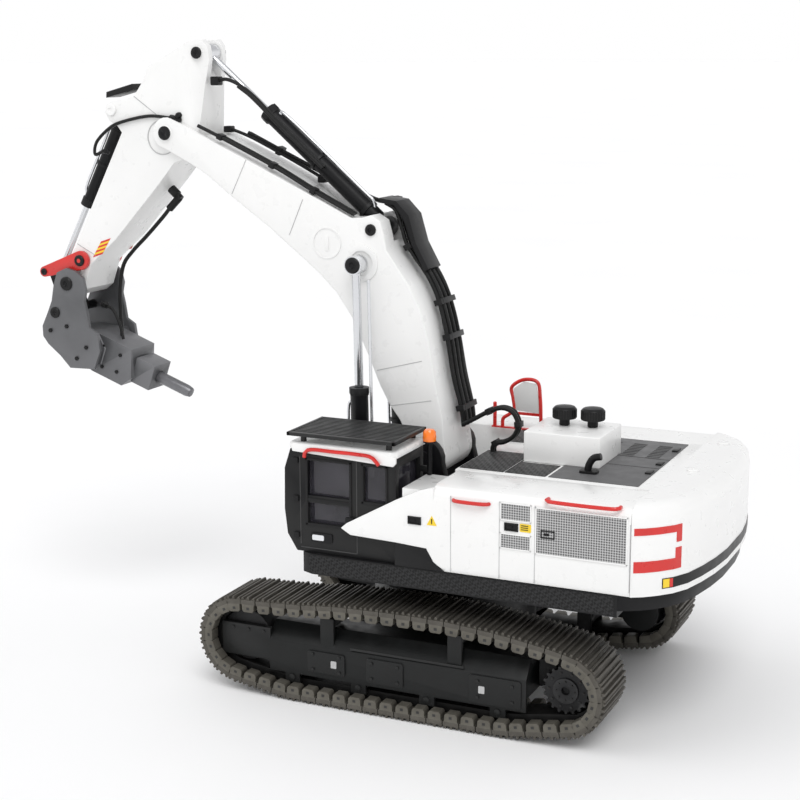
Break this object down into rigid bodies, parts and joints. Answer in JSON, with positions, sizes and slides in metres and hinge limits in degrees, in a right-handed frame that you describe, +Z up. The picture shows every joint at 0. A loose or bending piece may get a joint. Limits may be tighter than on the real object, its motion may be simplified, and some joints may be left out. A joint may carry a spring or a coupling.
{
  "type": "toy excavator",
  "caption": "Tracked scale-model excavator with slewing house, cab, curved boom, stick and hydraulic breaker moved by cylinders.",
  "frame": {"origin": "middle of the bounding box underside, on the ground the tracks stand on", "axes": "+X forward, towards the boom and breaker; +Y to the cab side, the left; +Z up"},
  "size_m": [0.5312, 0.225, 0.4406],
  "materials": {
    "white_paint": "gloss white enamel",
    "black_plastic": "satin black",
    "dark_panel": "dark grey perforated panels",
    "track_metal": "bare worn metal",
    "chain_metal": "blackened",
    "grey_metal": "dark grey casting",
    "red_paint": "red enamel",
    "chrome": "polished rod",
    "black_rubber": "hydraulic hose",
    "tinted_glass": "tinted clear plastic",
    "orange_lens": "orange lens"
  },
  "bodies": {
    "undercarriage": {"carbody": "black_plastic", "track_frame_left": "black_plastic", "track_frame_right": "black_plastic", "track_shoes_left": "track_metal", "track_shoes_right": "track_metal", "track_chain_left": "chain_metal", "track_chain_right": "chain_metal"},
    "sprocket_left": {"sprocket_left": "grey_metal"},
    "idler_left": {"idler_left": "grey_metal"},
    "bottom_roller_1_left": {"bottom_roller_1_left": "grey_metal"},
    "bottom_roller_2_left": {"bottom_roller_2_left": "grey_metal"},
    "bottom_roller_3_left": {"bottom_roller_3_left": "grey_metal"},
    "bottom_roller_4_left": {"bottom_roller_4_left": "grey_metal"},
    "carrier_roller_1_left": {"carrier_roller_1_left": "grey_metal"},
    "carrier_roller_2_left": {"carrier_roller_2_left": "grey_metal"},
    "sprocket_right": {"sprocket_right": "grey_metal"},
    "idler_right": {"idler_right": "grey_metal"},
    "bottom_roller_1_right": {"bottom_roller_1_right": "grey_metal"},
    "bottom_roller_2_right": {"bottom_roller_2_right": "grey_metal"},
    "bottom_roller_3_right": {"bottom_roller_3_right": "grey_metal"},
    "bottom_roller_4_right": {"bottom_roller_4_right": "grey_metal"},
    "carrier_roller_1_right": {"carrier_roller_1_right": "grey_metal"},
    "carrier_roller_2_right": {"carrier_roller_2_right": "grey_metal"},
    "house": {"deck": "black_plastic", "side_body_left": "white_paint", "side_body_right": "white_paint", "counterweight": "white_paint", "engine_hood": "dark_panel", "air_box": "white_paint", "pre_cleaner_front": "black_plastic", "pre_cleaner_rear": "black_plastic", "exhaust": "black_plastic", "guard_rail": "red_paint", "grab_handle_front": "red_paint", "grab_handle_rear": "red_paint", "cab_shell": "black_plastic", "cab_glass": "tinted_glass", "cab_roof": "white_paint", "roof_guard": "dark_panel", "cab_rail": "red_paint", "seat": "black_plastic", "beacon": "orange_lens", "loop_hose": "black_rubber"},
    "boom": {"boom": "white_paint", "boom_hoses": "black_rubber"},
    "lift_barrel_left": {"lift_barrel_left": "black_plastic"},
    "lift_rod_left": {"lift_rod_left": "chrome"},
    "lift_barrel_right": {"lift_barrel_right": "black_plastic"},
    "lift_rod_right": {"lift_rod_right": "chrome"},
    "stick_barrel": {"stick_barrel": "black_plastic"},
    "stick_rod": {"stick_rod": "chrome"},
    "stick": {"stick": "white_paint", "stick_hose": "black_rubber"},
    "tilt_barrel": {"tilt_barrel": "black_plastic"},
    "tilt_rod": {"tilt_rod": "chrome"},
    "rocker": {"rocker_left": "red_paint", "rocker_right": "red_paint"},
    "link": {"link": "red_paint"},
    "breaker": {"breaker_housing": "grey_metal"},
    "chisel": {"chisel": "grey_metal"}
  },
  "joints": [
    {"name": "slew", "type": "hinge", "parent": "undercarriage", "child": "house", "pos_m": [-0.06795, -0.00248, 0.0927], "axis": [0, 0, 1], "continuous": true},
    {"name": "sprocket_left_spin", "type": "hinge", "parent": "undercarriage", "child": "sprocket_left", "pos_m": [-0.18495, 0.08652, 0.036], "axis": [0, 1, 0], "continuous": true},
    {"name": "idler_left_spin", "type": "hinge", "parent": "undercarriage", "child": "idler_left", "pos_m": [0.04805, 0.08652, 0.038], "axis": [0, 1, 0], "continuous": true},
    {"name": "bottom_roller_1_left_spin", "type": "hinge", "parent": "undercarriage", "child": "bottom_roller_1_left", "pos_m": [0.01035, 0.08552, 0.0181], "axis": [0, 1, 0], "continuous": true},
    {"name": "bottom_roller_2_left_spin", "type": "hinge", "parent": "undercarriage", "child": "bottom_roller_2_left", "pos_m": [-0.03955, 0.08552, 0.0181], "axis": [0, 1, 0], "continuous": true},
    {"name": "bottom_roller_3_left_spin", "type": "hinge", "parent": "undercarriage", "child": "bottom_roller_3_left", "pos_m": [-0.08955, 0.08552, 0.0181], "axis": [0, 1, 0], "continuous": true},
    {"name": "bottom_roller_4_left_spin", "type": "hinge", "parent": "undercarriage", "child": "bottom_roller_4_left", "pos_m": [-0.13955, 0.08552, 0.0181], "axis": [0, 1, 0], "continuous": true},
    {"name": "carrier_roller_1_left_spin", "type": "hinge", "parent": "undercarriage", "child": "carrier_roller_1_left", "pos_m": [-0.01595, 0.08552, 0.0559], "axis": [0, 1, 0], "continuous": true},
    {"name": "carrier_roller_2_left_spin", "type": "hinge", "parent": "undercarriage", "child": "carrier_roller_2_left", "pos_m": [-0.10895, 0.08552, 0.0582], "axis": [0, 1, 0], "continuous": true},
    {"name": "sprocket_right_spin", "type": "hinge", "parent": "undercarriage", "child": "sprocket_right", "pos_m": [-0.18495, -0.09148, 0.036], "axis": [0, 1, 0], "continuous": true},
    {"name": "idler_right_spin", "type": "hinge", "parent": "undercarriage", "child": "idler_right", "pos_m": [0.04805, -0.09148, 0.038], "axis": [0, 1, 0], "continuous": true},
    {"name": "bottom_roller_1_right_spin", "type": "hinge", "parent": "undercarriage", "child": "bottom_roller_1_right", "pos_m": [0.01035, -0.09048, 0.0181], "axis": [0, 1, 0], "continuous": true},
    {"name": "bottom_roller_2_right_spin", "type": "hinge", "parent": "undercarriage", "child": "bottom_roller_2_right", "pos_m": [-0.03955, -0.09048, 0.0181], "axis": [0, 1, 0], "continuous": true},
    {"name": "bottom_roller_3_right_spin", "type": "hinge", "parent": "undercarriage", "child": "bottom_roller_3_right", "pos_m": [-0.08955, -0.09048, 0.0181], "axis": [0, 1, 0], "continuous": true},
    {"name": "bottom_roller_4_right_spin", "type": "hinge", "parent": "undercarriage", "child": "bottom_roller_4_right", "pos_m": [-0.13955, -0.09048, 0.0181], "axis": [0, 1, 0], "continuous": true},
    {"name": "carrier_roller_1_right_spin", "type": "hinge", "parent": "undercarriage", "child": "carrier_roller_1_right", "pos_m": [-0.01595, -0.09048, 0.0559], "axis": [0, 1, 0], "continuous": true},
    {"name": "carrier_roller_2_right_spin", "type": "hinge", "parent": "undercarriage", "child": "carrier_roller_2_right", "pos_m": [-0.10895, -0.09048, 0.0582], "axis": [0, 1, 0], "continuous": true},
    {"name": "boom_lift", "type": "hinge", "parent": "house", "child": "boom", "pos_m": [-0.05595, -0.00248, 0.158], "axis": [0, -1, 0], "range_deg": [-20, 12]},
    {"name": "stick_swing", "type": "hinge", "parent": "boom", "child": "stick", "pos_m": [0.14805, -0.00248, 0.3755], "axis": [0, -1, 0], "range_deg": [-16, 20]},
    {"name": "breaker_tilt", "type": "hinge", "parent": "stick", "child": "breaker", "pos_m": [0.23855, -0.00248, 0.2625], "axis": [0, -1, 0], "range_deg": [-20, 25]},
    {"name": "lift_cylinder_left_pivot", "type": "hinge", "parent": "house", "child": "lift_barrel_left", "pos_m": [-0.00995, 0.03052, 0.122], "axis": [0, -1, 0], "range_deg": [-16.17, 9.72]},
    {"name": "lift_cylinder_left_stroke", "type": "slide", "parent": "lift_barrel_left", "child": "lift_rod_left", "axis": [0.0179, 0, 0.9998], "range_m": [-0.01687, 0.01014]},
    {"name": "lift_cylinder_right_pivot", "type": "hinge", "parent": "house", "child": "lift_barrel_right", "pos_m": [-0.00995, -0.03548, 0.122], "axis": [0, -1, 0], "range_deg": [-16.17, 9.72]},
    {"name": "lift_cylinder_right_stroke", "type": "slide", "parent": "lift_barrel_right", "child": "lift_rod_right", "axis": [0.0179, 0, 0.9998], "range_m": [-0.01687, 0.01014]},
    {"name": "stick_cylinder_pivot", "type": "hinge", "parent": "boom", "child": "stick_barrel", "pos_m": [-0.01395, -0.00248, 0.313], "axis": [0, -1, 0], "range_deg": [-1.47, 1.83]},
    {"name": "stick_cylinder_stroke", "type": "slide", "parent": "stick_barrel", "child": "stick_rod", "axis": [0.761, 0, 0.6488], "range_m": [-0.02008, 0.01607]},
    {"name": "rocker_pivot", "type": "hinge", "parent": "stick", "child": "rocker", "pos_m": [0.22805, -0.00248, 0.28], "axis": [0, -1, 0], "range_deg": [-11.03, 13.77]},
    {"name": "link_pivot", "type": "hinge", "parent": "rocker", "child": "link", "pos_m": [0.26105, -0.00248, 0.27], "axis": [0, -1, 0], "range_deg": [-0.272, 0.328]},
    {"name": "tilt_cylinder_pivot", "type": "hinge", "parent": "stick", "child": "tilt_barrel", "pos_m": [0.19705, -0.00248, 0.391], "axis": [0, -1, 0], "range_deg": [-1.94, 2.41]},
    {"name": "tilt_cylinder_stroke", "type": "slide", "parent": "tilt_barrel", "child": "tilt_rod", "axis": [0.4676, 0, -0.884], "range_m": [-0.00608, 0.00487]},
    {"name": "chisel_stroke", "type": "slide", "parent": "breaker", "child": "chisel", "axis": [-0.9397, 0, -0.342], "range_m": [-0.003, 0]}
  ],
  "couplings": [
    {"joint": "sprocket_left_spin", "follows": "idler_left_spin", "ratio": 1.1149},
    {"joint": "sprocket_right_spin", "follows": "idler_right_spin", "ratio": 1.1149},
    {"joint": "lift_cylinder_left_pivot", "follows": "boom_lift", "ratio": 0.80592},
    {"joint": "lift_cylinder_left_stroke", "follows": "boom_lift", "m_per_rad": 0.048191},
    {"joint": "lift_cylinder_right_pivot", "follows": "boom_lift", "ratio": 0.80592},
    {"joint": "lift_cylinder_right_stroke", "follows": "boom_lift", "m_per_rad": 0.048191},
    {"joint": "stick_cylinder_pivot", "follows": "stick_swing", "ratio": 0.088912},
    {"joint": "stick_cylinder_stroke", "follows": "stick_swing", "m_per_rad": -0.05738},
    {"joint": "rocker_pivot", "follows": "breaker_tilt", "ratio": 0.54874},
    {"joint": "link_pivot", "follows": "breaker_tilt", "ratio": 0.011124},
    {"joint": "tilt_cylinder_pivot", "follows": "breaker_tilt", "ratio": 0.094422},
    {"joint": "tilt_cylinder_stroke", "follows": "breaker_tilt", "m_per_rad": -0.013816}
  ]
}
